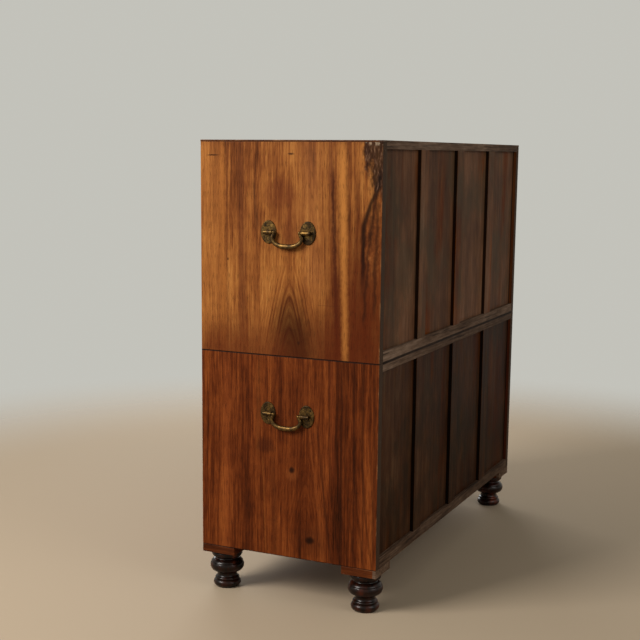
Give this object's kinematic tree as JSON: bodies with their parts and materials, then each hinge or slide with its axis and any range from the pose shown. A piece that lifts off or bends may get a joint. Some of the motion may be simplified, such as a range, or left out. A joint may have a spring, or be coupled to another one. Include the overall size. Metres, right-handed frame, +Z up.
{
  "type": "campaign chest of drawers",
  "caption": "Campaign chest of drawers in stacked cases on turned feet, with a panelled back, sunk drawer pulls and swinging brass end handles; the upper case lifts off.",
  "frame": {"origin": "on the floor under the middle of the chest", "axes": "+X along the width to the right-hand end, +Y from the drawer fronts to the panelled back, +Z up"},
  "size_m": [1.0216, 0.428, 1.016],
  "materials": {
    "case_wood": "old wax polish over red-brown hardwood",
    "drawer_front_wood": "old wax polish over red-brown hardwood",
    "back_wood": "dull dark stain, dry and worn",
    "inner_wood": "bare planed wood",
    "drawer_lining_wood": "bare planed wood",
    "foot_wood": "dark glossy polish on turned wood",
    "handle_brass": "old dark brass, worn bright on the edges",
    "pull_brass": "old brass, dull",
    "screw_brass": "dark old brass"
  },
  "bodies": {
    "short_left_drawer": {"short_left_front": "drawer_front_wood", "short_left_sides_back": "drawer_lining_wood", "short_left_bottom": "drawer_lining_wood", "short_left_brass": "pull_brass"},
    "short_left_pull_bail": {"short_left_pull": "pull_brass"},
    "short_right_drawer": {"short_right_front": "drawer_front_wood", "short_right_sides_back": "drawer_lining_wood", "short_right_bottom": "drawer_lining_wood", "short_right_brass": "pull_brass"},
    "short_right_pull_bail": {"short_right_pull": "pull_brass"},
    "long_upper_drawer": {"long_upper_front": "drawer_front_wood", "long_upper_sides_back": "drawer_lining_wood", "long_upper_bottom": "drawer_lining_wood", "long_upper_brass": "pull_brass"},
    "long_upper_pull_left_bail": {"long_upper_pull_left": "pull_brass"},
    "long_upper_pull_right_bail": {"long_upper_pull_right": "pull_brass"},
    "long_middle_drawer": {"long_middle_front": "drawer_front_wood", "long_middle_sides_back": "drawer_lining_wood", "long_middle_bottom": "drawer_lining_wood", "long_middle_brass": "pull_brass"},
    "long_middle_pull_left_bail": {"long_middle_pull_left": "pull_brass"},
    "long_middle_pull_right_bail": {"long_middle_pull_right": "pull_brass"},
    "long_lower_drawer": {"long_lower_front": "drawer_front_wood", "long_lower_sides_back": "drawer_lining_wood", "long_lower_bottom": "drawer_lining_wood", "long_lower_brass": "pull_brass"},
    "long_lower_pull_left_bail": {"long_lower_pull_left": "pull_brass"},
    "long_lower_pull_right_bail": {"long_lower_pull_right": "pull_brass"},
    "upper_right_handle_bail": {"upper_right_handle": "handle_brass"},
    "upper_left_handle_bail": {"upper_left_handle": "handle_brass"},
    "lower_right_handle_bail": {"lower_right_handle": "handle_brass"},
    "lower_left_handle_bail": {"lower_left_handle": "handle_brass"},
    "lower_case": {"lower_top": "case_wood", "lower_side_left": "case_wood", "lower_side_right": "case_wood", "lower_bottom": "case_wood", "lower_blade": "case_wood", "lower_dustboard": "inner_wood", "lower_muntins": "back_wood", "lower_panels": "back_wood", "foot_blocks": "case_wood", "foot_front_left": "foot_wood", "foot_front_right": "foot_wood", "foot_back_left": "foot_wood", "foot_back_right": "foot_wood", "dowels": "inner_wood", "lower_rosettes": "handle_brass", "lower_handle_screws": "screw_brass"},
    "upper_case": {"upper_top": "case_wood", "upper_side_left": "case_wood", "upper_side_right": "case_wood", "upper_bottom": "case_wood", "upper_blade": "case_wood", "upper_partition": "case_wood", "upper_dustboard": "inner_wood", "upper_muntins": "back_wood", "upper_panels": "back_wood", "upper_rosettes": "handle_brass", "upper_handle_screws": "screw_brass"}
  },
  "joints": [
    {"name": "short_left_slide", "type": "slide", "parent": "upper_case", "child": "short_left_drawer", "axis": [0, -1, 0], "range_m": [0, 0.3]},
    {"name": "short_left_pull_swing", "type": "hinge", "parent": "short_left_drawer", "child": "short_left_pull_bail", "pos_m": [-0.24425, -0.2106, 0.91405], "axis": [-1, 0, 0], "range_deg": [-4, 100]},
    {"name": "short_right_slide", "type": "slide", "parent": "upper_case", "child": "short_right_drawer", "axis": [0, -1, 0], "range_m": [0, 0.3]},
    {"name": "short_right_pull_swing", "type": "hinge", "parent": "short_right_drawer", "child": "short_right_pull_bail", "pos_m": [0.24425, -0.2106, 0.91405], "axis": [-1, 0, 0], "range_deg": [-4, 100]},
    {"name": "long_upper_slide", "type": "slide", "parent": "upper_case", "child": "long_upper_drawer", "axis": [0, -1, 0], "range_m": [0, 0.3]},
    {"name": "long_upper_pull_left_swing", "type": "hinge", "parent": "long_upper_drawer", "child": "long_upper_pull_left_bail", "pos_m": [-0.2678, -0.2106, 0.69505], "axis": [-1, 0, 0], "range_deg": [-4, 100]},
    {"name": "long_upper_pull_right_swing", "type": "hinge", "parent": "long_upper_drawer", "child": "long_upper_pull_right_bail", "pos_m": [0.2678, -0.2106, 0.69505], "axis": [-1, 0, 0], "range_deg": [-4, 100]},
    {"name": "long_middle_slide", "type": "slide", "parent": "lower_case", "child": "long_middle_drawer", "axis": [0, -1, 0], "range_m": [0, 0.3]},
    {"name": "long_middle_pull_left_swing", "type": "hinge", "parent": "long_middle_drawer", "child": "long_middle_pull_left_bail", "pos_m": [-0.2678, -0.2106, 0.44705], "axis": [-1, 0, 0], "range_deg": [-4, 100]},
    {"name": "long_middle_pull_right_swing", "type": "hinge", "parent": "long_middle_drawer", "child": "long_middle_pull_right_bail", "pos_m": [0.2678, -0.2106, 0.44705], "axis": [-1, 0, 0], "range_deg": [-4, 100]},
    {"name": "long_lower_slide", "type": "slide", "parent": "lower_case", "child": "long_lower_drawer", "axis": [0, -1, 0], "range_m": [0, 0.3]},
    {"name": "long_lower_pull_left_swing", "type": "hinge", "parent": "long_lower_drawer", "child": "long_lower_pull_left_bail", "pos_m": [-0.2678, -0.2106, 0.23455], "axis": [-1, 0, 0], "range_deg": [-4, 100]},
    {"name": "long_lower_pull_right_swing", "type": "hinge", "parent": "long_lower_drawer", "child": "long_lower_pull_right_bail", "pos_m": [0.2678, -0.2106, 0.23455], "axis": [-1, 0, 0], "range_deg": [-4, 100]},
    {"name": "upper_right_handle_swing", "type": "hinge", "parent": "upper_case", "child": "upper_right_handle_bail", "pos_m": [0.506, 0, 0.822], "axis": [0, -1, 0], "range_deg": [-2, 150]},
    {"name": "upper_left_handle_swing", "type": "hinge", "parent": "upper_case", "child": "upper_left_handle_bail", "pos_m": [-0.506, 0, 0.822], "axis": [0, 1, 0], "range_deg": [-2, 150]},
    {"name": "lower_right_handle_swing", "type": "hinge", "parent": "lower_case", "child": "lower_right_handle_bail", "pos_m": [0.506, 0, 0.427], "axis": [0, -1, 0], "range_deg": [-2, 150]},
    {"name": "lower_left_handle_swing", "type": "hinge", "parent": "lower_case", "child": "lower_left_handle_bail", "pos_m": [-0.506, 0, 0.427], "axis": [0, 1, 0], "range_deg": [-2, 150]},
    {"name": "upper_case_lift", "type": "slide", "parent": "lower_case", "child": "upper_case", "axis": [0, 0, 1], "range_m": [0, 0.2]}
  ]
}
